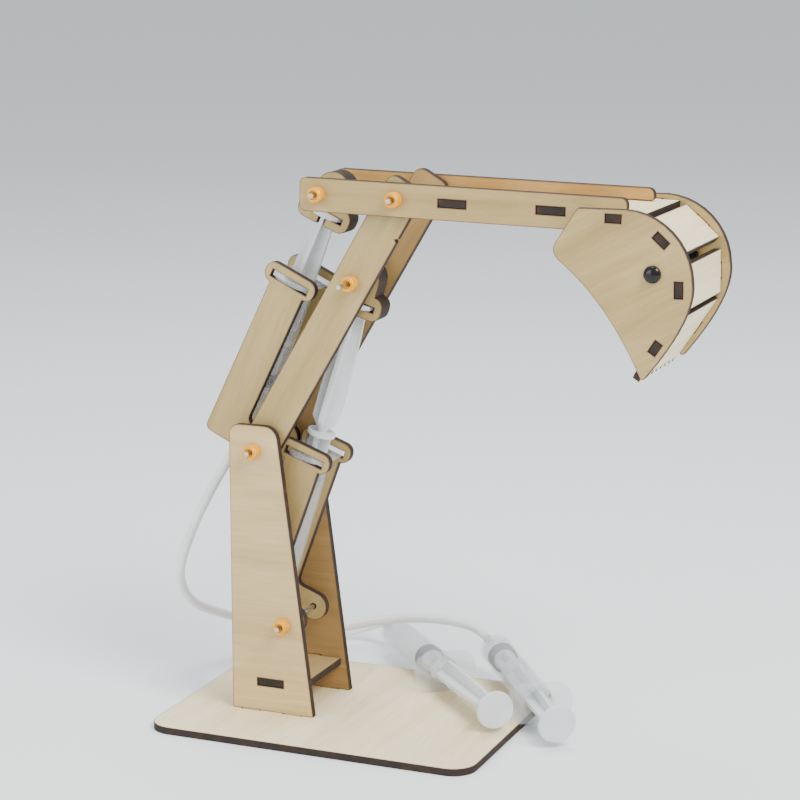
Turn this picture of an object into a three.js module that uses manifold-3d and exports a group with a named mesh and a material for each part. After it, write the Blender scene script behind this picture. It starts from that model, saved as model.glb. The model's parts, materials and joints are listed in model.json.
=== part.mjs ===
// Hydraulic arm kit: a desktop digger arm of laser-cut plywood, moved by syringes.
// Millimetres, +Z up. X runs along the base's front edge, Y runs to the back.
// The origin is the centre of the base plate's underside.

import * as THREE from 'three';
import { mergeVertices, toCreasedNormals } from 'three/addons/utils/BufferGeometryUtils.js';
import Module from 'manifold-3d';

const wasm = await Module();
wasm.setup();

// ---------------------------------------------------------------- driving dimensions

const PLY = 3;
const GAP = 0.3;
const BASE = { length: 142, depth: 108, corner: 10 };

// Pivots in the XZ plane. Angles are counted from +X towards +Z, in degrees.
const TOWER_TOP = { x: -36.3, z: 114.3 };
const TOWER_LOW = { x: -23.6, z: 41.4 };
const BOOM = { angle: 59.6, pivotToStick: 122.9, pivotToMiddle: 82.6, halfWidth: 8, overrun: 7.3 };
const STICK = { angle: -1, tail: 33, back: 41, front: 94.4, top: 6.4, bottom: -7 };

// Where each layer of plywood starts, outwards from the middle plane of the arm.
const LAYER = { cradle: 9.3, boom: 12.6, stick: 16.3, tower: 17.4, bucket: 26 };

const TOWER = { left: -47.4, footRight: -10.5, topRight: -26.3, height: 122 };
const SHELF = { centreX: -29.9, halfLength: 15.4, halfTenon: 5.8, bottom: 14.1 };
const FOOT_TENONS = [-39, -20];
const FOOT_TENON_LENGTH = 8;

const SHAFT_R = 1;
const SHAFT_HOLE_R = 1.25;
const BUSHING = { r: 3.15, length: 4.4, bore: 1.15, recess: 1.9, recessDepth: 0.8 };
const SHAFT_END = 2.2;
const MIDDLE_SHAFT_END = 8;

const CRADLE = { halfWidth: 7.9, headHalf: 11.8, headTop: 4.8, headBottom: -3.8, bottom: -74 };
const EAR = { x: 18.5, z: -68, r: 6 };
const CRADLE_SLOT = { halfLength: 8.8, halfHeight: 1.6 };
const LOWER_CRADLE_ANGLE = 69.8;
const UPPER_CRADLE_ANGLE = 64.1;

const BARREL = { r: 6.9, bore: 6.25, shoulder: -64, floor: -62.8, nozzleR: 2.1, tip: -76, hole: 0.9 };
const FLANGE = { halfLength: 13.7, halfWidth: 8.5, corner: 6.3, thick: 1.8 };
const PLUNGER = { discR: 8, discThick: 1.8, rib: 1.6, guide: -58.2, stub: -75.5, tip: -80 };
const PISTON = { r: 6.05, top: -73.2, socket: 2.6 };
const CLEVIS = { bodyHalf: 7.5, headHalf: 11.7, headTop: -5.4, bottom: -15.4, slotZ: -10.6 };
const CLEVIS_SLOT = { halfLength: 8.5, halfHeight: 1.25 };

// How far each thumb disc stands above its barrel's flange.
const LOWER_REACH = 66.7;
const UPPER_REACH = 30.2;
const MASTER_A = { x: 27.1, y: 33.6, z: 11.6, heading: -47.6, rise: 1.2, reach: 56.7 };
const MASTER_B = { x: 78, y: 10.3, z: 11.6, heading: -53.2, rise: -3, reach: 23.2 };

const TUBE_R = 2;
const ROUND = 20;

// ---------------------------------------------------------------- materials

const material = (color, roughness, metalness = 0) =>
  new THREE.MeshStandardMaterial({ color, roughness, metalness });
const plywood = material(0xd6be8e, 0.7);
const paleply = material(0xf0e2c0, 0.7);
const steel = material(0xb9bcc0, 0.3, 1);
const orange = material(0xf09a1c, 0.4);
const clear = material(0xd8dadc, 0.3);
const rubber = material(0x35363a, 0.6);
const white = material(0xeef0f0, 0.4);
const black = material(0x15161a, 0.25);

// ---------------------------------------------------------------- geometry helpers

const radians = THREE.MathUtils.degToRad;

const along = (origin, angle, distance) => ({
  x: origin.x + distance * Math.cos(radians(angle)),
  z: origin.z + distance * Math.sin(radians(angle)),
});

function toSolid(geometry) {
  const bare = geometry.index ? geometry.toNonIndexed() : geometry.clone();
  bare.deleteAttribute('normal');
  bare.deleteAttribute('uv');
  const merged = mergeVertices(bare, 1e-4);
  return new wasm.Manifold(new wasm.Mesh({
    numProp: 3,
    vertProperties: new Float32Array(merged.attributes.position.array),
    triVerts: new Uint32Array(merged.index.array),
  }));
}

function toGeometry(solid) {
  const { vertProperties, triVerts, numProp } = solid.getMesh();
  const position = new Float32Array((vertProperties.length / numProp) * 3);
  for (let i = 0; i < position.length / 3; i += 1) {
    for (let k = 0; k < 3; k += 1) position[3 * i + k] = vertProperties[numProp * i + k];
  }
  const geometry = new THREE.BufferGeometry();
  geometry.setAttribute('position', new THREE.BufferAttribute(position, 3));
  geometry.setIndex(new THREE.BufferAttribute(new Uint32Array(triVerts), 1));
  return toCreasedNormals(geometry, radians(35));
}

function unite(first, ...rest) {
  const solid = rest.reduce((sum, geometry) => sum.add(toSolid(geometry)), toSolid(first));
  return toGeometry(solid);
}

function subtract(first, ...rest) {
  const solid = rest.reduce((sum, geometry) => sum.subtract(toSolid(geometry)), toSolid(first));
  return toGeometry(solid);
}

// How many straight steps stand for one stretch of an outline.
function stepsOf(curve) {
  if (curve.isLineCurve) return 1;
  const length = curve.getLength();
  const turn = curve.isEllipseCurve ? length / curve.xRadius : 0;
  return Math.max(Math.ceil(turn / radians(30) - 0.01), Math.ceil(1.5 * Math.sqrt(length)));
}

// The same path as plain points, without the doubled points where arcs meet lines.
function withoutDoubles(path) {
  const points = path.curves.flatMap((curve) => curve.getPoints(stepsOf(curve)));
  const kept = points.filter((p, i) => p.distanceTo(points[(i + 1) % points.length]) > 0.01);
  return new THREE.Shape(kept);
}

function extrude(outline, depth) {
  const block = new THREE.ExtrudeGeometry(withoutDoubles(outline), { depth, bevelEnabled: false });
  const cuts = outline.holes.map((hole) => {
    const cut = new THREE.ExtrudeGeometry(withoutDoubles(hole), { depth: 3 * depth, bevelEnabled: false });
    return cut.translate(0, 0, -depth);
  });
  return subtract(block, ...cuts);
}

// A plate cut from plywood: the outline lies in XZ, and the thickness runs from y0 to y1.
function plate(outline, y0, y1) {
  const geometry = extrude(outline, y1 - y0);
  geometry.rotateX(Math.PI / 2);
  geometry.translate(0, y1, 0);
  return geometry;
}

function rectangle(x0, z0, x1, z1, Kind = THREE.Shape) {
  const shape = new Kind();
  shape.moveTo(x0, z0);
  shape.lineTo(x1, z0);
  shape.lineTo(x1, z1);
  shape.lineTo(x0, z1);
  shape.closePath();
  return shape;
}

function circle(x, z, r, Kind = THREE.Path) {
  const shape = new Kind();
  shape.absarc(x, z, r, 0, 2 * Math.PI, false);
  return shape;
}

// A corner-rounded outline through corners given as [x, z, radius].
function rounded(corners, Kind = THREE.Shape) {
  const shape = new Kind();
  const count = corners.length;
  corners.forEach(([x, z, r], i) => {
    const corner = new THREE.Vector2(x, z);
    const before = new THREE.Vector2(...corners[(i + count - 1) % count].slice(0, 2)).sub(corner);
    const after = new THREE.Vector2(...corners[(i + 1) % count].slice(0, 2)).sub(corner);
    const half = Math.abs(before.angleTo(after)) / 2;
    const reach = r / Math.tan(half);
    const start = corner.clone().addScaledVector(before.normalize(), reach);
    const end = corner.clone().addScaledVector(after.normalize(), reach);
    if (i === 0) shape.moveTo(start.x, start.y);
    else shape.lineTo(start.x, start.y);
    if (r === 0) return;
    const middle = before.add(after).normalize();
    const centre = corner.clone().addScaledVector(middle, r / Math.sin(half));
    const from = Math.atan2(start.y - centre.y, start.x - centre.x);
    const to = Math.atan2(end.y - centre.y, end.x - centre.x);
    const clockwise = Math.sin(to - from) < 0;
    shape.absarc(centre.x, centre.y, r, from, to, clockwise);
  });
  shape.closePath();
  return shape;
}

// A slot turned by an angle about its own centre.
function slot(x, z, halfLength, halfHeight, angle = 0) {
  const c = Math.cos(radians(angle));
  const s = Math.sin(radians(angle));
  const corners = [[-1, -1], [1, -1], [1, 1], [-1, 1]].map(([i, j]) => {
    const u = i * halfLength;
    const v = j * halfHeight;
    return [x + u * c - v * s, z + u * s + v * c, 0];
  });
  return rounded(corners, THREE.Path);
}

function lathe(profile, segments = ROUND) {
  const points = profile.map(([r, z]) => new THREE.Vector2(r, z));
  const geometry = new THREE.LatheGeometry(points, segments);
  geometry.rotateX(Math.PI / 2);
  return toGeometry(toSolid(geometry));
}

// A round bar or sleeve along Y.
function rodAlongY(r, y0, y1, segments = 12) {
  const geometry = new THREE.CylinderGeometry(r, r, y1 - y0, segments);
  geometry.translate(0, (y0 + y1) / 2, 0);
  return geometry;
}

function mesh(name, geometry, finish) {
  const node = new THREE.Mesh(geometry, finish);
  node.name = name;
  return node;
}

// A group whose +X points along the angle.
function armFrame(origin, angle) {
  const group = new THREE.Group();
  group.position.set(origin.x, 0, origin.z);
  group.rotation.y = -radians(angle);
  return group;
}

// A group whose +Z points along the angle.
function cylinderFrame(origin, angle) {
  return armFrame(origin, angle - 90);
}

// ---------------------------------------------------------------- shafts and bushings

// A steel shaft with a plastic bushing pushed on at each end, against the plates at halfWidth.
function addShaft(group, label, x, z, halfWidth, end = SHAFT_END) {
  const outer = halfWidth + GAP / 2 + BUSHING.length;
  const shaft = mesh(`${label}_shaft`, rodAlongY(SHAFT_R, -outer - end, outer + end), steel);
  shaft.position.set(x, 0, z);
  group.add(shaft);
  for (const [side, sign] of [['front', -1], ['rear', 1]]) {
    const bushing = mesh(`${label}_bushing_${side}`, bushingGeometry(), orange);
    bushing.position.set(x, sign * (halfWidth + GAP / 2), z);
    bushing.rotation.x = sign > 0 ? -Math.PI / 2 : Math.PI / 2;
    group.add(bushing);
  }
}

function bushingGeometry() {
  const { r, length, bore, recess, recessDepth } = BUSHING;
  const chamfer = 0.6;
  return lathe([
    [bore, 0], [r, 0], [r, length - chamfer], [r - chamfer, length], [recess, length],
    [recess, length - recessDepth], [bore, length - recessDepth], [bore, 0],
  ], 16);
}

// ---------------------------------------------------------------- base and tower

function basePlate() {
  const { length, depth, corner } = BASE;
  const outline = rounded([
    [-length / 2, -depth / 2, corner], [length / 2, -depth / 2, corner],
    [length / 2, depth / 2, corner], [-length / 2, depth / 2, corner],
  ]);
  for (const x of FOOT_TENONS) {
    for (const sign of [-1, 1]) {
      const y = sign * (LAYER.tower + PLY / 2);
      outline.holes.push(slot(x, y, FOOT_TENON_LENGTH / 2 + GAP, PLY / 2 + GAP));
    }
  }
  return extrude(outline, PLY);
}

function towerPlate(y0) {
  const foot = PLY + 0.02;
  const tenonBottom = 0.4;
  const { left, footRight, topRight, height } = TOWER;
  const top = PLY + height;
  const corners = [[left, foot, 0]];
  for (const x of FOOT_TENONS) {
    const half = FOOT_TENON_LENGTH / 2;
    corners.push([x - half, foot, 0], [x - half, tenonBottom, 0]);
    corners.push([x + half, tenonBottom, 0], [x + half, foot, 0]);
  }
  corners.push([footRight, foot, 0], [topRight, top, 6], [left, top, 4.5]);
  const outline = rounded(corners);
  const shelfZ = SHELF.bottom + PLY / 2;
  outline.holes.push(
    slot(SHELF.centreX, shelfZ, SHELF.halfTenon + 0.2, PLY / 2 + 0.2),
    circle(TOWER_TOP.x, TOWER_TOP.z, SHAFT_HOLE_R),
    circle(TOWER_LOW.x, TOWER_LOW.z, SHAFT_HOLE_R),
  );
  return plate(outline, y0, y0 + PLY);
}

// A flat cross piece in XY with one tenon at each end. Its thickness runs up from z = 0.
function crossPiece(halfLength, halfTenon, inner, outer) {
  const corners = [];
  const right = [
    [halfLength, -inner], [halfLength, inner], [halfTenon, inner], [halfTenon, outer],
  ];
  right.forEach(([x, y]) => corners.push([x, y, 0]));
  [...right].reverse().forEach(([x, y]) => corners.push([-x, y, 0]));
  corners.splice(8, 0, [-halfTenon, -inner, 0], [-halfTenon, -outer, 0]);
  corners.push([halfTenon, -outer, 0], [halfTenon, -inner, 0]);
  return extrude(rounded(corners), PLY);
}

function addTower(group) {
  group.add(mesh('base_plate', basePlate(), paleply));
  const outer = LAYER.tower + PLY;
  group.add(mesh('tower_plate_front', towerPlate(-outer), plywood));
  group.add(mesh('tower_plate_rear', towerPlate(LAYER.tower), plywood));
  const shelf = crossPiece(SHELF.halfLength, SHELF.halfTenon, LAYER.tower - GAP, outer - GAP);
  const node = mesh('tower_shelf', shelf, plywood);
  node.position.set(SHELF.centreX, 0, SHELF.bottom);
  group.add(node);
  addShaft(group, 'tower_top', TOWER_TOP.x, TOWER_TOP.z, outer);
  addShaft(group, 'tower_low', TOWER_LOW.x, TOWER_LOW.z, outer);
}

// ---------------------------------------------------------------- boom

function boomPlate(y0, nicked) {
  const { halfWidth, pivotToStick, pivotToMiddle, overrun } = BOOM;
  const end = pivotToStick + overrun;
  const nick = { x: 108, depth: 1.1, half: 0.9 };
  const corners = [[-halfWidth, -halfWidth, halfWidth - 0.01]];
  if (nicked) {
    corners.push([nick.x - nick.half, -halfWidth, 0]);
    corners.push([nick.x, -halfWidth + nick.depth, 0]);
    corners.push([nick.x + nick.half, -halfWidth, 0]);
  }
  corners.push([end, -halfWidth, 4], [end, halfWidth, 4], [-halfWidth, halfWidth, halfWidth - 0.01]);
  const outline = rounded(corners);
  for (const x of [0, pivotToMiddle, pivotToStick]) outline.holes.push(circle(x, 0, SHAFT_HOLE_R));
  return plate(outline, y0, y0 + PLY);
}

function addBoom(root) {
  const group = armFrame(TOWER_TOP, BOOM.angle);
  const outer = LAYER.boom + PLY;
  group.add(mesh('boom_plate_front', boomPlate(-outer, true), plywood));
  group.add(mesh('boom_plate_rear', boomPlate(LAYER.boom, false), plywood));
  addShaft(group, 'boom_middle', BOOM.pivotToMiddle, 0, outer, MIDDLE_SHAFT_END);
  addShaft(group, 'stick_pivot', BOOM.pivotToStick, 0, LAYER.stick + PLY);
  root.add(group);
}

// ---------------------------------------------------------------- stick and bucket
// Everything here is in the stick's own frame: its pivot is the origin, +X points to the bucket.

const STICK_SLOTS = [23.9, 64.1];
const STICK_SLOT = { halfLength: 5.9, z: -0.3 };
const SPACER_HALF = 9;
const NOTCH = { x: 81.4, z: 1.5 };

// Each slat: its tenon's centre, the angle it lies at, and how far it runs both ways from there.
const SLATS = [
  { x: 92, z: -0.3, angle: 0, back: 10.2, ahead: 10.3, tenon: 3, teeth: false },
  { x: 110.7, z: -7.2, angle: -40.5, back: 9.1, ahead: 9.1, tenon: 3, teeth: false },
  { x: 118.2, z: -25.3, angle: -88, back: 8.6, ahead: 8.6, tenon: 3, teeth: false },
  { x: 110.1, z: -47.8, angle: -122, back: 14.5, ahead: 13.6, tenon: 2.5, teeth: true },
];
const TOOTH = { count: 9, length: 2.6 };
const RIVET = { x: 108, z: -20, headR: 3.4, dome: 2, shankR: 1.6, clip: 2.6, clipThick: 1.2 };

function stickPlate(y0) {
  const { back, front, top, bottom, tail } = STICK;
  const outline = rounded([
    [-back, bottom, 2.5], [NOTCH.x, bottom, 0], [NOTCH.x, NOTCH.z, 0], [front, NOTCH.z, 1.2],
    [front, top, 2.6], [-back, top, 2.5],
  ]);
  outline.holes.push(circle(0, 0, SHAFT_HOLE_R), circle(-tail, 0, SHAFT_HOLE_R));
  for (const x of STICK_SLOTS) {
    outline.holes.push(slot(x, STICK_SLOT.z, STICK_SLOT.halfLength, PLY / 2 + 0.2));
  }
  return plate(outline, y0, y0 + PLY);
}

function bucketOutline() {
  const arc = { x: 96, z: -24, r: 27.4 };
  const from = radians(88.5);
  const to = radians(4);
  const shape = new THREE.Shape();
  shape.moveTo(77.9, 2.8);
  shape.lineTo(arc.x + arc.r * Math.cos(from), arc.z + arc.r * Math.sin(from));
  shape.absarc(arc.x, arc.z, arc.r, from, to, true);
  shape.quadraticCurveTo(125.5, -35, 106.8, -59.3);
  shape.quadraticCurveTo(105.6, -61.1, 104.7, -59.9);
  shape.quadraticCurveTo(91, -32, 71, -17.4);
  shape.quadraticCurveTo(67.6, -14.4, 69.4, -11);
  shape.lineTo(77.9, 2.8);
  return shape;
}

function bucketPlate(y0) {
  const outline = bucketOutline();
  for (const slat of SLATS) {
    outline.holes.push(slot(slat.x, slat.z, slat.tenon + 0.2, PLY / 2 + 0.2, slat.angle));
  }
  outline.holes.push(circle(RIVET.x, RIVET.z, RIVET.shankR + 0.2));
  return plate(outline, y0, y0 + PLY);
}

// A slat in its own frame: +X runs towards the bucket's lip, Y is its width, Z its thickness.
function slatGeometry({ back, ahead, tenon, teeth }) {
  const inner = LAYER.bucket - GAP;
  const outer = LAYER.bucket + PLY - GAP;
  const corners = [[-back, inner, 0], [-back, -inner, 0], [-tenon, -inner, 0], [-tenon, -outer, 0]];
  corners.push([tenon, -outer, 0], [tenon, -inner, 0], [ahead, -inner, 0]);
  const pitch = (2 * inner) / TOOTH.count;
  for (let i = 0; teeth && i < TOOTH.count; i += 1) {
    const y = -inner + i * pitch;
    corners.push([ahead + TOOTH.length, y + pitch * 0.35, 0]);
    corners.push([ahead + TOOTH.length, y + pitch * 0.65, 0]);
    if (i < TOOTH.count - 1) corners.push([ahead, y + pitch, 0]);
  }
  corners.push([ahead, inner, 0], [tenon, inner, 0], [tenon, outer, 0]);
  corners.push([-tenon, outer, 0], [-tenon, inner, 0]);
  const geometry = extrude(rounded(corners), PLY);
  geometry.translate(0, 0, -PLY / 2);
  return geometry;
}

// A push rivet: a dome outside the plate, a shank through it and a clip inside.
function rivetGeometry() {
  const { headR, dome, shankR, clip, clipThick } = RIVET;
  const profile = [[0, -PLY - GAP - clipThick], [clip, -PLY - GAP - clipThick], [clip, -PLY - GAP]];
  profile.push([shankR, -PLY - GAP], [shankR, GAP / 2], [headR, GAP / 2]);
  const steps = 5;
  for (let i = 1; i < steps; i += 1) {
    const a = (Math.PI / 2) * (i / steps);
    profile.push([headR * Math.cos(a), GAP / 2 + 0.4 + dome * Math.sin(a)]);
  }
  profile.push([0, GAP / 2 + 0.4 + dome]);
  return lathe(profile);
}

function addStick(root) {
  const pivot = along(TOWER_TOP, BOOM.angle, BOOM.pivotToStick);
  const group = armFrame(pivot, STICK.angle);
  const outer = LAYER.stick + PLY;
  group.add(mesh('stick_plate_front', stickPlate(-outer), plywood));
  group.add(mesh('stick_plate_rear', stickPlate(LAYER.stick), plywood));
  STICK_SLOTS.forEach((x, i) => {
    const spacer = crossPiece(SPACER_HALF, STICK_SLOT.halfLength - 0.2, LAYER.stick - GAP, outer - GAP);
    const node = mesh(`stick_spacer_${i + 1}`, spacer, plywood);
    node.position.set(x, 0, STICK_SLOT.z - PLY / 2);
    group.add(node);
  });
  addShaft(group, 'stick_tail', -STICK.tail, 0, outer);
  group.add(mesh('bucket_plate_front', bucketPlate(-LAYER.bucket - PLY), plywood));
  group.add(mesh('bucket_plate_rear', bucketPlate(LAYER.bucket), plywood));
  SLATS.forEach((slat, i) => {
    const node = mesh(`bucket_slat_${i + 1}`, slatGeometry(slat), paleply);
    node.position.set(slat.x, 0, slat.z);
    node.rotation.y = -radians(slat.angle);
    group.add(node);
  });
  for (const [side, sign] of [['front', -1], ['rear', 1]]) {
    const node = mesh(`bucket_rivet_${side}`, rivetGeometry(), black);
    node.position.set(RIVET.x, sign * (LAYER.bucket + PLY), RIVET.z);
    node.rotation.x = sign > 0 ? -Math.PI / 2 : Math.PI / 2;
    group.add(node);
  }
  root.add(group);
}

// ---------------------------------------------------------------- syringes
// A syringe's frame: the origin is the centre of the barrel's flange, +Z points to the thumb disc.

function barrelGeometry() {
  const { r, bore, shoulder, floor, nozzleR, tip, hole } = BARREL;
  const body = lathe([
    [bore, FLANGE.thick / 2], [bore, floor + 1.2], [hole, floor], [hole, tip], [nozzleR - 0.25, tip],
    [nozzleR, shoulder - 1.6], [r - 1, shoulder], [r, shoulder + 1], [r, FLANGE.thick / 2],
    [bore, FLANGE.thick / 2],
  ]);
  const outline = flangeOutline();
  const flange = extrude(outline, FLANGE.thick);
  flange.translate(0, 0, -FLANGE.thick / 2);
  const opening = new THREE.CylinderGeometry(bore, bore, 4 * FLANGE.thick, ROUND);
  opening.rotateX(Math.PI / 2);
  return unite(body, subtract(flange, opening));
}

// The finger flange is long across the arm and rounded at both ends.
function flangeOutline() {
  const { halfLength, halfWidth, corner } = FLANGE;
  return rounded([
    [-halfWidth, -halfLength, corner], [halfWidth, -halfLength, corner],
    [halfWidth, halfLength, corner], [-halfWidth, halfLength, corner],
  ]);
}

// One of the plunger's crossed ribs: narrow under the disc, wider down the barrel.
function ribGeometry() {
  const shape = new THREE.Shape();
  const widths = [[0, 3.8], [-16, 5], [-38, 5.8], [-52, 5.8], [-56.4, 2.2], [-57.5, 2.2]];
  widths.forEach(([z, x], i) => (i ? shape.lineTo(x, z) : shape.moveTo(x, z)));
  [...widths].reverse().forEach(([z, x]) => shape.lineTo(-x, z));
  shape.closePath();
  return plate(shape, -PLUNGER.rib / 2, PLUNGER.rib / 2);
}

function shortRibGeometry() {
  const shape = rectangle(-4.6, PISTON.top + 1, 4.6, PLUNGER.guide);
  return plate(shape, -PLUNGER.rib / 2, PLUNGER.rib / 2);
}

function plungerGeometry() {
  const { discR, discThick, guide, stub } = PLUNGER;
  const half = discThick / 2;
  const disc = lathe([[0, -half], [discR - 0.4, -half], [discR, 0], [discR - 0.4, half], [0, half]]);
  const guideDisc = lathe([[0, guide - 0.7], [5.9, guide - 0.7], [5.9, guide + 0.7], [0, guide + 0.7]]);
  const holder = lathe([[0, stub], [2.2, stub], [2.2, PISTON.top + 0.3], [4.8, PISTON.top + 0.3],
    [4.8, PISTON.top + 1.5], [0, PISTON.top + 1.5]]);
  const ribs = [ribGeometry(), shortRibGeometry()];
  const crossed = ribs.map((rib) => rib.clone().rotateZ(Math.PI / 2));
  return unite(disc, guideDisc, holder, ...ribs, ...crossed);
}

function pistonGeometry() {
  const { r, top, socket } = PISTON;
  const { tip, stub } = PLUNGER;
  return lathe([
    [0, tip], [r - 0.5, tip + 1.4], [r, tip + 2], [r - 0.6, tip + 3], [r - 0.6, top - 1.4], [r, top - 0.8],
    [r, top], [socket, top], [socket, stub - 0.3], [0, stub - 0.3],
  ]);
}

function addPlunger(group, label, reach) {
  for (const [piece, geometry, finish] of [
    ['plunger', plungerGeometry(), clear],
    ['piston', pistonGeometry(), rubber],
  ]) {
    const node = mesh(`${label}_${piece}`, geometry, finish);
    node.position.z = reach;
    group.add(node);
  }
}

function addMaster(root, label, { x, y, z, heading, rise, reach }) {
  const group = new THREE.Group();
  group.position.set(x, y, z);
  group.rotation.order = 'ZYX';
  group.rotation.z = radians(heading);
  group.rotation.y = radians(90 - rise);
  group.add(mesh(`${label}_barrel`, barrelGeometry(), clear));
  addPlunger(group, label, reach);
  root.add(group);
}

// ---------------------------------------------------------------- slave cylinders

function cradlePlate(y0) {
  const { halfWidth, headHalf, headTop, headBottom, bottom } = CRADLE;
  const headR = 3.8;
  const outline = rounded([
    [-halfWidth, bottom, 2.5], [EAR.x + EAR.r, bottom, EAR.r - 0.01],
    [EAR.x + EAR.r, EAR.z + EAR.r, EAR.r - 0.01], [halfWidth, EAR.z + EAR.r, 3],
    [halfWidth, headBottom, 0], [headHalf, headBottom, headR], [headHalf, headTop, headR],
    [-headHalf, headTop, headR], [-headHalf, headBottom, headR], [-halfWidth, headBottom, 0],
  ]);
  outline.holes.push(
    circle(EAR.x, EAR.z, SHAFT_HOLE_R),
    slot(0, 0, CRADLE_SLOT.halfLength, CRADLE_SLOT.halfHeight),
  );
  return plate(outline, y0, y0 + PLY);
}

// The clevis is three plates side by side. The middle one is cut wider, for the plunger's flat rib.
function clevisPlate(y0, notchHalf, hole) {
  const { bodyHalf, headHalf, headTop, bottom, slotZ } = CLEVIS;
  const { halfLength, halfHeight } = CLEVIS_SLOT;
  const outline = rounded([
    [notchHalf, bottom, 0], [headHalf, bottom, 4], [headHalf, headTop, 4], [bodyHalf, headTop, 0],
    [bodyHalf, bodyHalf, bodyHalf - 0.01], [-bodyHalf, bodyHalf, bodyHalf - 0.01],
    [-bodyHalf, headTop, 0], [-headHalf, headTop, 4], [-headHalf, bottom, 4], [-notchHalf, bottom, 0],
    [-notchHalf, slotZ - halfHeight, 0], [-halfLength, slotZ - halfHeight, 0],
    [-halfLength, slotZ + halfHeight, 0], [halfLength, slotZ + halfHeight, 0],
    [halfLength, slotZ - halfHeight, 0], [notchHalf, slotZ - halfHeight, 0],
  ]);
  outline.holes.push(rounded([
    [-hole.half, hole.low, hole.half - 0.01], [hole.half, hole.low, hole.half - 0.01],
    [hole.half, hole.high, hole.half - 0.01], [-hole.half, hole.high, hole.half - 0.01],
  ], THREE.Path));
  return plate(outline, y0, y0 + PLY - 0.05);
}

// cradle: the plates' frame; syringe: the barrel's frame, which leans a little in the plates' slots.
function addSlave(root, label, shaft, cradleAngle, target, reach, hole) {
  const foot = along(shaft, cradleAngle, -EAR.z);
  const head = along(foot, cradleAngle + 90, EAR.x);
  const cradle = cylinderFrame(head, cradleAngle);
  const outer = LAYER.cradle + PLY;
  cradle.add(mesh(`${label}_cradle_plate_front`, cradlePlate(-outer), plywood));
  cradle.add(mesh(`${label}_cradle_plate_rear`, cradlePlate(LAYER.cradle), plywood));
  root.add(cradle);

  const lean = THREE.MathUtils.radToDeg(Math.atan2(target.z - head.z, target.x - head.x));
  const syringe = cylinderFrame(head, lean);
  syringe.add(mesh(`${label}_barrel`, barrelGeometry(), clear));
  addPlunger(syringe, label, reach);
  root.add(syringe);

  const clevis = cylinderFrame(target, lean);
  const notch = { outer: 1.6, middle: 5 };
  clevis.add(mesh(`${label}_clevis_front`, clevisPlate(-1.5 * PLY, notch.outer, hole), plywood));
  clevis.add(mesh(`${label}_clevis_middle`, clevisPlate(-0.5 * PLY, notch.middle, hole), plywood));
  clevis.add(mesh(`${label}_clevis_rear`, clevisPlate(0.5 * PLY, notch.outer, hole), plywood));
  root.add(clevis);
}

// ---------------------------------------------------------------- tubes

// The swinging barrels need this much room above their tubes, which are modelled at rest.
const SWING_CLEARANCE = 3;

const UPPER_TUBE = [
  [-59.6, 0, 102], [-64.4, 0.3, 94.4], [-69.4, 1, 86], [-74.8, 2.2, 76.4], [-80.2, 4.4, 66], [-85.6, 8.2, 55],
  [-88.8, 12.6, 46], [-89.6, 18.4, 37.6], [-88.4, 25, 31], [-85.6, 32.4, 26.4], [-82.4, 40, 22.6],
  [-79.4, 48.6, 18.6], [-75.4, 58, 14], [-70, 68, 9.4], [-63, 77.6, 5.6], [-54.6, 86.2, 3.4],
  [-45, 92.4, 3.2], [-36, 95.4, 5.8],
];
const LOWER_TUBE = [
  [-41.4, 1, 30.2], [-46.2, 5, 24.4], [-51.6, 12.4, 21], [-54.2, 22, 18.8], [-53, 32, 17.4],
  [-47.6, 41.4, 16.6], [-39, 49.4, 16.8], [-28.6, 56.4, 18.2], [-17, 63, 20.2], [-5, 69, 21.2],
  [5, 73.6, 20.8], [14, 76.8, 19.6], [23, 78, 17.8],
];

// Just outside a barrel's nozzle, with the direction that the nozzle points in.
function nozzleOf(root, name, clearance) {
  root.updateMatrixWorld(true);
  const barrel = root.getObjectByName(name);
  const tip = new THREE.Vector3(0, 0, BARREL.tip - clearance).applyMatrix4(barrel.matrixWorld);
  const out = new THREE.Vector3(0, 0, -1).transformDirection(barrel.matrixWorld);
  return { tip, out };
}

function tubeGeometry(start, route, end) {
  const lead = 4;
  const points = [
    start.tip,
    start.tip.clone().addScaledVector(start.out, lead),
    ...route.map((p) => new THREE.Vector3(...p)),
    end.tip.clone().addScaledVector(end.out, lead),
    end.tip,
  ];
  const curve = new THREE.CatmullRomCurve3(points, false, 'centripetal');
  const section = new THREE.Shape();
  const sides = 8;
  for (let i = 0; i < sides; i += 1) {
    const a = (2 * Math.PI * i) / sides;
    const method = i === 0 ? 'moveTo' : 'lineTo';
    section[method](TUBE_R * Math.cos(a), TUBE_R * Math.sin(a));
  }
  section.closePath();
  const steps = Math.round(curve.getLength() / (2.2 * TUBE_R));
  return new THREE.ExtrudeGeometry(section, { steps, bevelEnabled: false, extrudePath: curve });
}

function addTubes(root) {
  const upper = tubeGeometry(
    nozzleOf(root, 'upper_slave_barrel', SWING_CLEARANCE),
    UPPER_TUBE,
    nozzleOf(root, 'master_a_barrel', GAP),
  );
  const lower = tubeGeometry(
    nozzleOf(root, 'lower_slave_barrel', SWING_CLEARANCE),
    LOWER_TUBE,
    nozzleOf(root, 'master_b_barrel', GAP),
  );
  root.add(mesh('upper_tube', upper, white));
  root.add(mesh('lower_tube', lower, white));
}

// ---------------------------------------------------------------- the whole kit

const kit = new THREE.Group();
addTower(kit);
addBoom(kit);
addStick(kit);

const middlePivot = along(TOWER_TOP, BOOM.angle, BOOM.pivotToMiddle);
const stickPivot = along(TOWER_TOP, BOOM.angle, BOOM.pivotToStick);
const tailPivot = along(stickPivot, STICK.angle + 180, STICK.tail);

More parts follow.
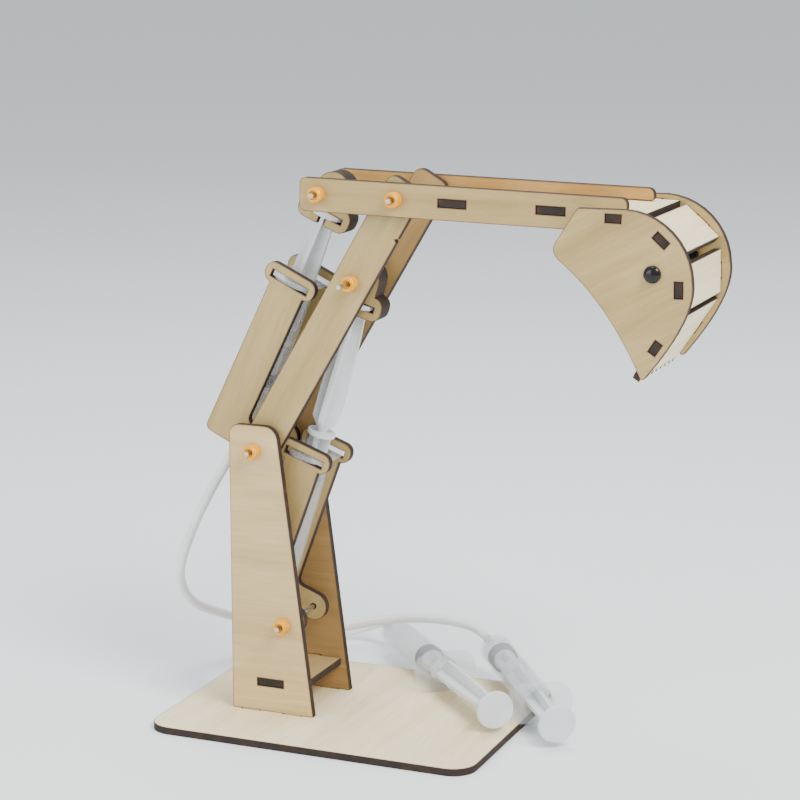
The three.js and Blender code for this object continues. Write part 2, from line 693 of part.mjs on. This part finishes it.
// The clevis holes are long, because each one stands open around a shaft that swings on its own arc.
addSlave(kit, 'lower_slave', TOWER_LOW, LOWER_CRADLE_ANGLE, middlePivot, LOWER_REACH,
  { half: 2.2, low: -3.2, high: 2.7 });
addSlave(kit, 'upper_slave', TOWER_TOP, UPPER_CRADLE_ANGLE, tailPivot, UPPER_REACH,
  { half: 3, low: -3, high: 3 });
addMaster(kit, 'master_a', MASTER_A);
addMaster(kit, 'master_b', MASTER_B);
addTubes(kit);

export default kit;
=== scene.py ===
"""Hydraulic arm kit: looks for a plywood digger arm moved by syringes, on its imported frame."""

import json
import math

import bmesh
import bpy
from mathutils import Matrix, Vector


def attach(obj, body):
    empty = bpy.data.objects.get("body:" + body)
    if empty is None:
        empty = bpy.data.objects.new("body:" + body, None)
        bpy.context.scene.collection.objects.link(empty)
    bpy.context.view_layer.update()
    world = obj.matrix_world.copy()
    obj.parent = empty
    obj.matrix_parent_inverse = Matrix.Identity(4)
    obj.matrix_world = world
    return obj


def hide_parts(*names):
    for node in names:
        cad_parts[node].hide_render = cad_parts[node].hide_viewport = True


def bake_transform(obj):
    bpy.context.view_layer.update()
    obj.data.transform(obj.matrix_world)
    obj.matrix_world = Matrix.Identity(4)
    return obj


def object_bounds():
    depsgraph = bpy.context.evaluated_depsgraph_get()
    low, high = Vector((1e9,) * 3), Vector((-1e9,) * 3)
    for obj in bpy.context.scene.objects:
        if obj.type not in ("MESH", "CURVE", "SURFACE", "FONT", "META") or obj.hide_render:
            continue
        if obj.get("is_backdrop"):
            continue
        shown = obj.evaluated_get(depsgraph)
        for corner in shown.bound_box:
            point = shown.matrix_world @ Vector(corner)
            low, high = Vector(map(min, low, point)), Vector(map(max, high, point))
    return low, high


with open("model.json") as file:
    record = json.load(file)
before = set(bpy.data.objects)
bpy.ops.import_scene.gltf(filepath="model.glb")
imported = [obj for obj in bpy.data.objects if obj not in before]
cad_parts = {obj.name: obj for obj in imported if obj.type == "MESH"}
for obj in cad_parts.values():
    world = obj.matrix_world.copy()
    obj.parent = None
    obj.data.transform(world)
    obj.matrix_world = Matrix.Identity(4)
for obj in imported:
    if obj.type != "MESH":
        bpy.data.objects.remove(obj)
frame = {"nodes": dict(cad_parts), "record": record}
cad_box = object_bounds()

MM = 0.001


# ---------------------------------------------------------------- camera

CAMERA_AZIMUTH = 22.56
CAMERA_PITCH = 11.79
CAMERA_DISTANCE = 0.941
CAMERA_TARGET = Vector((0.0201, 0.0, 0.1362))
CAMERA_LENS = 104.3


def add_camera():
    azimuth = math.radians(CAMERA_AZIMUTH)
    pitch = math.radians(CAMERA_PITCH)
    back = Vector((
        math.sin(azimuth) * math.cos(pitch),
        -math.cos(azimuth) * math.cos(pitch),
        math.sin(pitch),
    ))
    data = bpy.data.cameras.new("camera")
    data.lens = CAMERA_LENS
    data.sensor_width = 36
    data.clip_start = 0.05
    data.clip_end = 100
    camera = bpy.data.objects.new("camera", data)
    camera.location = CAMERA_TARGET + back * CAMERA_DISTANCE
    camera.rotation_euler = back.to_track_quat("Z", "Y").to_euler()
    bpy.context.collection.objects.link(camera)
    bpy.context.scene.camera = camera


# ---------------------------------------------------------------- mesh helpers

def link_mesh(name, mesh, *materials):
    piece = bpy.data.objects.new(name, mesh)
    for material in materials:
        mesh.materials.append(material)
    bpy.context.collection.objects.link(piece)
    return piece


def smooth(mesh, angle=35):
    for polygon in mesh.polygons:
        polygon.use_smooth = True
    mesh.set_sharp_from_angle(angle=math.radians(angle))


def body_of_node(node):
    bodies = frame["record"]["behaviour"]["bodies"]
    return next(body for body, nodes in bodies.items() if node in nodes)


# ---------------------------------------------------------------- material helpers

class Shader:
    """A small wrapper that adds nodes to one material and links them."""

    def __init__(self, name):
        self.material = bpy.data.materials.new(name)
        self.material.use_nodes = True
        self.tree = self.material.node_tree
        self.principled = self.tree.nodes["Principled BSDF"]

    def set(self, **values):
        for key, value in values.items():
            socket = self.principled.inputs[key.replace("_", " ")]
            socket.default_value = value
        return self

    def add(self, kind, settings=None, **inputs):
        node = self.tree.nodes.new(kind)
        for key, value in (settings or {}).items():
            setattr(node, key, value)
        for key, value in inputs.items():
            socket = node.inputs[key.replace("_", " ")]
            if isinstance(value, bpy.types.NodeSocket):
                self.tree.links.new(value, socket)
            else:
                socket.default_value = value
        return node

    def link(self, output, name):
        self.tree.links.new(output, self.principled.inputs[name])

    def object_space(self, rotation=(0, 0, 0), scale=(1, 1, 1), shift=(0, 0, 0)):
        coordinates = self.add("ShaderNodeTexCoord")
        angles = [math.radians(a) for a in rotation]
        turned = self.add(
            "ShaderNodeMapping",
            Vector=coordinates.outputs["Object"],
            Location=shift,
            Rotation=angles,
        )
        return self.add("ShaderNodeMapping", Vector=turned.outputs[0], Scale=scale).outputs[0]

    def noise(self, vector, detail=4.0, roughness=0.5, distortion=0.0):
        return self.add(
            "ShaderNodeTexNoise",
            Vector=vector,
            Scale=1.0,
            Detail=detail,
            Roughness=roughness,
            Distortion=distortion,
        ).outputs["Fac"]

    def ramp(self, factor, *stops):
        node = self.add("ShaderNodeValToRGB", Fac=factor)
        elements = node.color_ramp.elements
        while len(elements) < len(stops):
            elements.new(0.5)
        for element, (place, color) in zip(elements, stops):
            element.position = place
            element.color = (*color, 1)
        return node.outputs["Color"]

    def mix(self, factor, first, second, blend="MIX"):
        node = self.add("ShaderNodeMixRGB", {"blend_type": blend}, Fac=factor)
        for value, socket in ((first, node.inputs[1]), (second, node.inputs[2])):
            if isinstance(value, bpy.types.NodeSocket):
                self.tree.links.new(value, socket)
            else:
                socket.default_value = (*value, 1)
        return node.outputs[0]

    def scalar(self, factor, low, high):
        return self.add(
            "ShaderNodeMapRange", Value=factor, To_Min=low, To_Max=high
        ).outputs[0]

    def bump(self, height, strength, distance):
        node = self.add("ShaderNodeBump", Height=height, Strength=strength, Distance=distance)
        self.link(node.outputs[0], "Normal")


# ---------------------------------------------------------------- materials

SCORCH = (0.13, 0.05, 0.014)
CHAR = (0.010, 0.006, 0.004)


def plywood_face(name, rotation, light, dark):
    """Birch veneer: long fibres along the turned X axis, faint bands, and a scorched rim."""
    shader = Shader(name)
    fibres = shader.noise(
        shader.object_space(rotation, (60, 1400, 1400)), detail=5, roughness=0.6
    )
    bands = shader.noise(
        shader.object_space(rotation, (12, 120, 120), (0.3, 0.1, 0)), detail=3, distortion=0.9
    )
    patches = shader.noise(
        shader.object_space(rotation, (14, 34, 34), (0.7, 0, 0.2)), detail=2
    )
    pores = shader.noise(
        shader.object_space(rotation, (160, 2600, 2600)), detail=2, roughness=0.7
    )
    veneer = shader.ramp(bands, (0.32, dark), (0.68, light))
    fibre_tone = shader.ramp(fibres, (0.3, (0.86, 0.83, 0.78)), (0.7, (1.06, 1.06, 1.06)))
    veneer = shader.mix(0.75, veneer, fibre_tone, "MULTIPLY")
    patch_tone = shader.ramp(patches, (0.3, (0.88, 0.85, 0.8)), (0.72, (1.05, 1.05, 1.05)))
    veneer = shader.mix(0.8, veneer, patch_tone, "MULTIPLY")
    pore_tone = shader.ramp(pores, (0.24, (0.6, 0.52, 0.42)), (0.34, (1, 1, 1)))
    veneer = shader.mix(0.5, veneer, pore_tone, "MULTIPLY")
    burn = shader.add("ShaderNodeAttribute", {"attribute_name": "burn"}).outputs["Fac"]
    smoke = shader.noise(shader.object_space(rotation, (260, 260, 260)), detail=3)
    reach = shader.add(
        "ShaderNodeMath", {"operation": "MULTIPLY", "use_clamp": True}, Value=burn
    )
    shader.tree.links.new(shader.scalar(smoke, 0.55, 1.5), reach.inputs[1])
    depth = shader.ramp(
        reach.outputs[0], (0.0, (0, 0, 0)), (0.75, (0.85, 0.85, 0.85)), (1, (1, 1, 1))
    )
    burnt = shader.mix(depth, veneer, SCORCH)
    shader.link(burnt, "Base Color")
    shader.link(shader.scalar(fibres, 0.58, 0.76), "Roughness")
    shader.bump(fibres, 0.28, 0.00012)
    return shader.material


def plywood_edge(name):
    """A laser-cut edge: charred nearly black, with a few browner streaks."""
    shader = Shader(name)
    soot = shader.noise(shader.object_space(scale=(180, 180, 180)), detail=4, roughness=0.65)
    streaks = shader.noise(shader.object_space(scale=(900, 260, 900)), detail=3)
    char = shader.ramp(soot, (0.38, CHAR), (0.62, (0.034, 0.016, 0.008)), (0.8, (0.11, 0.05, 0.02)))
    tone = shader.ramp(streaks, (0.3, (0.6, 0.55, 0.5)), (0.7, (1.1, 1.05, 1)))
    shader.link(shader.mix(0.7, char, tone, "MULTIPLY"), "Base Color")
    shader.link(shader.scalar(soot, 0.7, 0.92), "Roughness")
    shader.bump(streaks, 0.35, 0.00015)
    return shader.material


def steel_material():
    shader = Shader("drawn_steel")
    lines = shader.noise(shader.object_space(scale=(1200, 40, 1200)), detail=3)
    tone = shader.ramp(lines, (0.3, (0.36, 0.37, 0.39)), (0.7, (0.62, 0.63, 0.65)))
    shader.link(tone, "Base Color")
    shader.set(Metallic=1.0)
    shader.link(shader.scalar(lines, 0.16, 0.32), "Roughness")
    return shader.material


def bushing_material():
    shader = Shader("orange_plastic")
    cloud = shader.noise(shader.object_space(scale=(220, 220, 220)), detail=3)
    tone = shader.ramp(cloud, (0.3, (0.74, 0.30, 0.0)), (0.7, (0.86, 0.39, 0.0)))
    shader.link(tone, "Base Color")
    shader.link(shader.scalar(cloud, 0.28, 0.4), "Roughness")
    shader.bump(cloud, 0.08, 0.0001)
    return shader.material


def syringe_material(name, tint, transmission, opacity, roughness):
    """Moulded polypropylene: clear to milky, with a faint cloud in it."""
    shader = Shader(name)
    cloud = shader.noise(shader.object_space(scale=(90, 90, 90)), detail=3)
    deep = tuple(0.93 * value for value in tint)
    shader.link(shader.ramp(cloud, (0.3, deep), (0.7, tint)), "Base Color")
    shader.set(Transmission_Weight=transmission, IOR=1.25, Specular_IOR_Level=0.6, Alpha=opacity)
    shader.link(shader.scalar(cloud, roughness, roughness + 0.08), "Roughness")
    shader.bump(cloud, 0.05, 0.0002)
    return shader.material


def tube_material():
    shader = Shader("milky_tube")
    cloud = shader.noise(shader.object_space(scale=(60, 60, 60)), detail=2)
    tone = shader.ramp(cloud, (0.3, (0.88, 0.89, 0.90)), (0.7, (0.96, 0.97, 0.97)))
    shader.link(tone, "Base Color")
    shader.set(Transmission_Weight=0.15, IOR=1.3, Coat_Weight=0.3, Coat_Roughness=0.15)
    shader.link(shader.scalar(cloud, 0.25, 0.35), "Roughness")
    return shader.material


def rubber_material():
    shader = Shader("piston_rubber")
    cloud = shader.noise(shader.object_space(scale=(400, 400, 400)), detail=3)
    tone = shader.ramp(cloud, (0.3, (0.03, 0.03, 0.032)), (0.7, (0.065, 0.065, 0.07)))
    shader.link(tone, "Base Color")
    shader.link(shader.scalar(cloud, 0.45, 0.6), "Roughness")
    shader.bump(cloud, 0.1, 0.0001)
    return shader.material


def rivet_material():
    shader = Shader("black_plastic")
    cloud = shader.noise(shader.object_space(scale=(300, 300, 300)), detail=2)
    tone = shader.ramp(cloud, (0.3, (0.002, 0.002, 0.003)), (0.7, (0.006, 0.006, 0.008)))
    shader.link(tone, "Base Color")
    shader.set(Specular_IOR_Level=0.35)
    shader.link(shader.scalar(cloud, 0.12, 0.22), "Roughness")
    return shader.material


# ---------------------------------------------------------------- tubes

TUBE_DIAMETER = 4 * MM

# The routes as the part has them, in millimetres, from the slave's nozzle to the master's.
UPPER_ROUTE = [
    (-53.4, 0, 113.8), (-55.4, 0, 109.2), (-59.6, 0, 102), (-64.4, 0.3, 94.4), (-69.4, 1, 86),
    (-74.8, 2.2, 76.4), (-80.2, 4.4, 66), (-85.6, 8.2, 55), (-88.8, 12.6, 46), (-89.6, 18.4, 37.6),
    (-88.4, 25, 31), (-85.6, 32.4, 26.4), (-82.4, 40, 22.6), (-79.4, 48.6, 18.6), (-75.4, 58, 14),
    (-70, 68, 9.4), (-63, 77.6, 5.6), (-54.6, 86.2, 3.4), (-45, 92.4, 3.2), (-36, 95.4, 5.8),
    (-26.8, 92.7, 9.9), (-24.1, 89.7, 10),
]
LOWER_ROUTE = [
    (-40, 0, 39), (-41.2, 0, 35.2), (-41.4, 1, 30.2), (-46.2, 5, 24.4), (-51.6, 12.4, 21),
    (-54.2, 22, 18.8), (-53, 32, 17.4), (-47.6, 41.4, 16.6), (-39, 49.4, 16.8), (-28.6, 56.4, 18.2),
    (-17, 63, 20.2), (-5, 69, 21.2), (5, 73.6, 20.8), (14, 76.8, 19.6), (23, 78, 17.8),
    (30.1, 74.3, 15.8), (32.5, 71.1, 15.6),
]


def through(points, steps=8):
    """A smooth line through the points, with that many steps from each one to the next."""
    points = [Vector(p) * MM for p in points]
    ends = [2 * points[0] - points[1], *points, 2 * points[-1] - points[-2]]
    line = []
    for a, b, c, d in zip(ends, ends[1:], ends[2:], ends[3:]):
        times = [0]
        for p, q in ((a, b), (b, c), (c, d)):
            times.append(times[-1] + math.sqrt((q - p).length))
        for step in range(steps):
            t = times[1] + (times[2] - times[1]) * step / steps
            line.append(between(a, b, c, d, times, t))
    line.append(points[-1])
    return line


def between(a, b, c, d, times, t):
    """One point of the centripetal Catmull-Rom curve from b to c."""
    def lerp(p, q, i, j):
        return p.lerp(q, (t - times[i]) / (times[j] - times[i]))
    ab, bc, cd = lerp(a, b, 0, 1), lerp(b, c, 1, 2), lerp(c, d, 2, 3)
    return lerp(lerp(ab, bc, 0, 2), lerp(bc, cd, 1, 3), 1, 2)


def sweep_mesh(name, line, radius, sides=16):
    """A round tube about the line, its section carried along without twisting."""
    mesh = bmesh.new()
    tangent = (line[1] - line[0]).normalized()
    across = tangent.orthogonal().normalized()
    rings = []
    for i, point in enumerate(line):
        ahead = line[min(i + 1, len(line) - 1)] - line[max(i - 1, 0)]
        turned = tangent.rotation_difference(ahead)
        across.rotate(turned)
        tangent = ahead.normalized()
        side = tangent.cross(across)
        ring = []
        for k in range(sides):
            turn = 2 * math.pi * k / sides
            offset = across * math.cos(turn) + side * math.sin(turn)
            ring.append(mesh.verts.new(point + offset * radius))
        rings.append(ring)
    for here, there in zip(rings, rings[1:]):
        for k in range(sides):
            n = (k + 1) % sides
            mesh.faces.new((here[k], here[n], there[n], there[k]))
    mesh.faces.new(reversed(rings[0]))
    mesh.faces.new(rings[-1])
    bmesh.ops.recalc_face_normals(mesh, faces=mesh.faces)
    data = bpy.data.meshes.new(name)
    mesh.to_mesh(data)
    mesh.free()
    smooth(data, 60)
    return data


def line_length(line):
    return sum((b - a).length for a, b in zip(line, line[1:]))


def add_tube(name, node, route, moving, start, end, material):
    """A tube from a swinging slave barrel to a master barrel. The start and end arguments are not
    used.
    """
    line = through(route)
    piece = link_mesh(name, sweep_mesh(name, line, TUBE_DIAMETER / 2), material)
    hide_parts(node)
    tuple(line[0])
    round(line_length(line), 3)
    Vector(start) * MM
    Vector(end) * MM
    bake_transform(piece)


def add_tubes(material):
    upper_bend = (-80, 10, 40), (-58, 0, 110)
    lower_bend = (-50, 10, 22), (-40, 0, 35)
    add_tube("upper_tube_skin", "upper_tube", UPPER_ROUTE, "boom", *upper_bend, material)
    add_tube("lower_tube_skin", "lower_tube", LOWER_ROUTE, "lower_cradle", *lower_bend, material)


# ---------------------------------------------------------------- plywood pieces

# How far the veneer's fibres are turned about Y in each group of plates, in degrees.
BOOM_ANGLE = 59.6
STICK_ANGLE = -1.0
BUCKET_ANGLE = 28
CRADLE_ANGLE = 67
RIM = 0.5 * MM
SOFT_CORNER = 0.12 * MM


def plate_normal(mesh):
    """The direction of a plate's two broad faces: the one that carries most area."""
    totals = {}
    for polygon in mesh.polygons:
        normal = polygon.normal.copy()
        if normal.y + normal.z * 1e-3 < 0:
            normal.negate()
        key = tuple(round(value, 2) for value in normal)
        totals[key] = totals.get(key, Vector()) + normal * polygon.area
    return max(totals.values(), key=lambda total: total.length).normalized()


def level(face, normal):
    """Whether a face lies flat across the normal, judged by its corners."""
    heights = [vert.co.dot(normal) for vert in face.verts]
    return max(heights) - min(heights) < 1e-5


def even_triangles(mesh, flats, normal):
    """Splits flat faces into well-shaped triangles, so that an inset doesn't fold any over."""
    flats = bmesh.ops.triangulate(mesh, faces=flats)["faces"]
    within = set(flats)
    inner = [e for e in mesh.edges if all(f in within for f in e.link_faces)]
    bmesh.ops.beautify_fill(mesh, faces=flats, edges=inner)
    return [face for face in mesh.faces if level(face, normal)]


def dress_plate(node, face, edge):
    """Stands for a plywood node: the same shape with a scorched rim, charred edges, soft corners."""
    data = frame["nodes"][node].data.copy()
    data.materials.clear()
    normal = plate_normal(data)
    mesh = bmesh.new()
    mesh.from_mesh(data)
    bmesh.ops.remove_doubles(mesh, verts=mesh.verts, dist=2e-6)
    bmesh.ops.dissolve_degenerate(mesh, edges=mesh.edges, dist=1e-6)
    bmesh.ops.dissolve_limit(
        mesh, angle_limit=math.radians(0.5), verts=mesh.verts, edges=mesh.edges
    )
    flats = even_triangles(mesh, [f for f in mesh.faces if level(f, normal)], normal)
    for face_of_edge in mesh.faces:
        face_of_edge.material_index = 1
    for flat in flats:
        flat.material_index = 0
    bmesh.ops.inset_region(mesh, faces=flats, thickness=RIM, use_even_offset=True)
    layer = mesh.verts.layers.float.new("burn")
    for vert in mesh.verts:
        vert[layer] = 1.0 if any(f.material_index == 1 for f in vert.link_faces) else 0.0
    mesh.to_mesh(data)
    mesh.free()
    smooth(data)
    piece = link_mesh(f"{node}_wood", data, face, edge)
    bevel = piece.modifiers.new("soft_corners", "BEVEL")
    bevel.width = SOFT_CORNER
    bevel.segments = 2
    bevel.limit_method = "ANGLE"
    bevel.angle_limit = math.radians(40)
    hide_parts(node)
    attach(piece, body_of_node(node))
    return piece


def add_wood():
    edge = plywood_edge("charred_edge")
    front_tan = (0.47, 0.35, 0.15), (0.38, 0.275, 0.105)
    tower_tan = (0.62, 0.475, 0.235), (0.51, 0.37, 0.16)
    # Painted shade: the inner faces of the rear plates get darker, more orange-brown copies of the
    # tan veneer, as if they lay in shadow.
    shaded_rear_orange = (0.56, 0.33, 0.095), (0.43, 0.24, 0.06)
    shaded_rear_brown = (0.42, 0.27, 0.10), (0.32, 0.19, 0.065)
    pale = (0.93, 0.84, 0.60), (0.84, 0.72, 0.46)
    boom = plywood_face("boom_veneer", (0, BOOM_ANGLE, 0), *front_tan)
    stick = plywood_face("stick_veneer", (0, STICK_ANGLE, 0), *front_tan)
    bucket = plywood_face("bucket_veneer", (0, BUCKET_ANGLE, 0), *front_tan)
    cradle = plywood_face("cradle_veneer", (0, CRADLE_ANGLE, 0), *front_tan)
    cross = plywood_face("cross_veneer", (0, 0, -90), *front_tan)
    slat = plywood_face("slat_veneer", (0, 0, -90), *pale)
    base = plywood_face("base_veneer", (0, 0, -90), *pale)
    faces = {
        "base_plate": base,
        "tower_plate_front": plywood_face("tower_veneer", (0, 0, 0), *tower_tan),
        # The rear veneers carry painted shade and are darker than the front ones.
        "tower_plate_rear": plywood_face("tower_rear_shaded_veneer", (0, 0, 0), *shaded_rear_brown),
        "tower_shelf": cross,
        "boom_plate_front": boom,
        "boom_plate_rear": plywood_face("boom_rear_shaded_veneer", (0, BOOM_ANGLE, 0), *shaded_rear_brown),
        "stick_plate_front": stick,
        "stick_plate_rear": plywood_face("stick_rear_shaded_veneer", (0, STICK_ANGLE, 0), *shaded_rear_orange),
        "stick_spacer_1": cross,
        "stick_spacer_2": cross,
        "bucket_plate_front": bucket,
        "bucket_plate_rear": bucket,
    }
    faces.update({f"bucket_slat_{i}": slat for i in range(1, 5)})
    for slave in ("lower_slave", "upper_slave"):
        for side in ("front", "rear"):
            faces[f"{slave}_cradle_plate_{side}"] = cradle
        for layer in ("front", "middle", "rear"):
            faces[f"{slave}_clevis_{layer}"] = cradle
    for node, face in faces.items():
        piece = dress_plate(node, face, edge)


# ---------------------------------------------------------------- syringes

SYRINGES = ("lower_slave", "upper_slave", "master_a", "master_b")


def paint(node, material):
    """Gives a CAD node its finish."""
    piece = frame["nodes"][node]
    piece.data.materials.clear()
    piece.data.materials.append(material)
    return piece


def add_finishes():
    steel = steel_material()
    orange = bushing_material()
    barrel = syringe_material("barrel_plastic", (0.70, 0.74, 0.77), 0.15, 0.26, 0.08)
    plunger = syringe_material("plunger_plastic", (0.80, 0.83, 0.85), 0.2, 0.95, 0.25)
    rubber = rubber_material()
    rivet = rivet_material()
    for node in frame["nodes"]:
        if node.endswith("_shaft"):
            paint(node, steel)
        elif "bushing" in node:
            paint(node, orange)
        elif "rivet" in node:
            paint(node, rivet)
    for syringe in SYRINGES:
        paint(f"{syringe}_barrel", barrel)
        paint(f"{syringe}_plunger", plunger)
        paint(f"{syringe}_piston", rubber)


# ---------------------------------------------------------------- floor and light

def add_floor():
    mesh = bmesh.new()
    bmesh.ops.create_grid(mesh, x_segments=2, y_segments=2, size=30)
    data = bpy.data.meshes.new("floor")
    mesh.to_mesh(data)
    mesh.free()
    shader = Shader("pale_floor").set(Base_Color=(0.84, 0.87, 0.89, 1), Roughness=0.8)
    floor = link_mesh("floor", data, shader.material)
    floor.location.z = cad_box[0][2] - 0.05 * MM
    floor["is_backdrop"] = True


def add_area_light(name, place, target, size, power, color=(1, 1, 1)):
    data = bpy.data.lights.new(name, "AREA")
    data.size = size
    data.energy = power
    data.color = color
    light = bpy.data.objects.new(name, data)
    light.location = place
    light.rotation_euler = (Vector(place) - Vector(target)).to_track_quat("Z", "Y").to_euler()
    bpy.context.collection.objects.link(light)


def add_lights():
    centre = (0.02, 0, 0.12)
    add_area_light("key", (0.9, -0.5, 1.1), centre, 0.6, 24, (1, 0.98, 0.94))
    add_area_light("fill", (-0.7, -1.2, 0.6), centre, 1.0, 13, (0.97, 0.99, 1))
    add_area_light("top", (-0.1, 0.3, 1.4), centre, 0.8, 14)
    world = bpy.data.worlds.new("studio")
    world.use_nodes = True
    background = world.node_tree.nodes["Background"]
    background.inputs["Color"].default_value = (0.93, 0.95, 0.98, 1)
    background.inputs["Strength"].default_value = 0.85
    bpy.context.scene.world = world


# ---------------------------------------------------------------- the scene

add_camera()
add_tubes(tube_material())
add_wood()
add_finishes()
add_floor()
add_lights()

visual_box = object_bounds()
boxes = {"cad": cad_box, "visual": visual_box}
{key: [list(corner) for corner in box] for key, box in boxes.items()}
